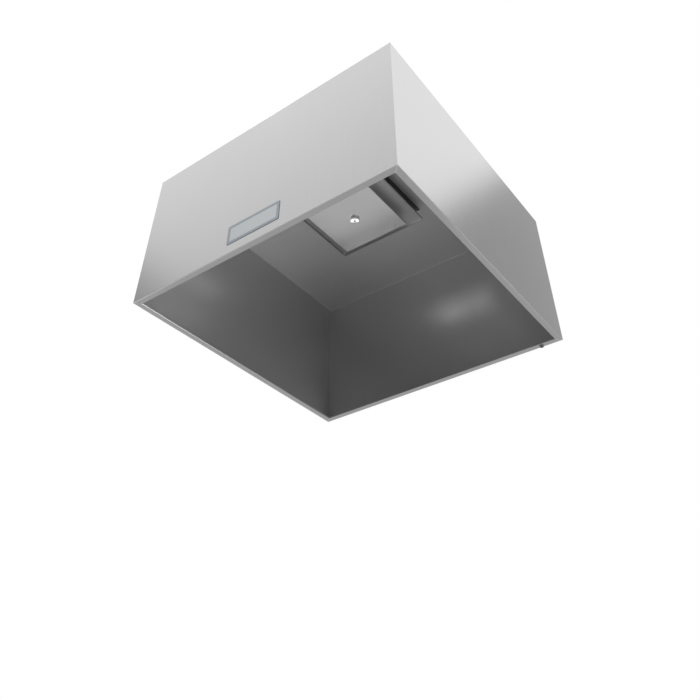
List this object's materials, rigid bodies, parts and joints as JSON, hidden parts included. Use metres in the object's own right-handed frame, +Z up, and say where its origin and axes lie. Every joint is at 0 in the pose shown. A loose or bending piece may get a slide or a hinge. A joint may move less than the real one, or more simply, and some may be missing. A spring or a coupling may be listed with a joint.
{
  "type": "condensate hood",
  "caption": "Square stainless exhaust hood for steam and condensate, open below with a drip gutter round its rim, a top collar and a height-adjustable baffle under it.",
  "frame": {"origin": "midway between the four rod holes, on the upper faces of the rod plates", "axes": "+X to the hood's right, +Y to its back, +Z up; the front with the plate faces -Y"},
  "size_m": [1.22, 1.2218, 0.7658],
  "materials": {
    "hood_sheet": "satin brushed stainless sheet",
    "collar_sheet": "mill finish stainless sheet",
    "rail_steel": "galvanised sheet",
    "fastener_steel": "bright stainless fasteners",
    "upper_baffle_sheet": "satin stainless sheet",
    "lower_baffle_sheet": "bright satin stainless sheet",
    "knob_polished": "polished",
    "nylon": "natural nylon",
    "gasket_rubber": "closed-cell seal",
    "badge_plate": "satin anodised, bare",
    "badge_pad": "foam tape",
    "drain_steel": "turned stainless"
  },
  "bodies": {
    "hood": {"front_panel": "hood_sheet", "rear_panel": "hood_sheet", "left_panel": "hood_sheet", "right_panel": "hood_sheet", "top_panel": "hood_sheet", "collar_front": "collar_sheet", "collar_rear": "collar_sheet", "collar_left": "collar_sheet", "collar_right": "collar_sheet", "left_hanger_rail": "rail_steel", "right_hanger_rail": "rail_steel", "rod_plate_front_left": "rail_steel", "rod_plate_front_right": "rail_steel", "rod_plate_rear_left": "rail_steel", "rod_plate_rear_right": "rail_steel", "baffle_crossbar": "rail_steel", "rail_studs": "fastener_steel", "rail_washers": "fastener_steel", "rail_nuts": "fastener_steel", "collar_studs": "fastener_steel", "collar_washers": "fastener_steel", "collar_nuts": "fastener_steel", "crossbar_bolts": "fastener_steel", "crossbar_nuts": "fastener_steel", "baffle_stud": "fastener_steel", "stud_nuts": "fastener_steel", "stud_washers": "fastener_steel", "upper_baffle": "upper_baffle_sheet", "guide_bushes": "nylon", "collar_gasket": "gasket_rubber", "badge_plate": "badge_plate", "badge_adhesive": "badge_pad", "drain_socket": "drain_steel"},
    "baffle_carriage": {"lower_baffle": "lower_baffle_sheet", "baffle_bush": "nylon", "guide_pins": "fastener_steel", "knob_washer": "nylon"},
    "knob": {"adjuster_knob": "knob_polished"}
  },
  "joints": [
    {"name": "baffle_height", "type": "slide", "parent": "hood", "child": "baffle_carriage", "axis": [0, 0, 1], "range_m": [-0.007, 0.021]},
    {"name": "knob_turn", "type": "hinge", "parent": "baffle_carriage", "child": "knob", "pos_m": [0, 0, -0.1599], "axis": [0, 0, 1], "range_deg": [-1440, 4320]}
  ],
  "couplings": [
    {"joint": "knob_turn", "follows": "baffle_height", "rad_per_m": 3590.4}
  ]
}
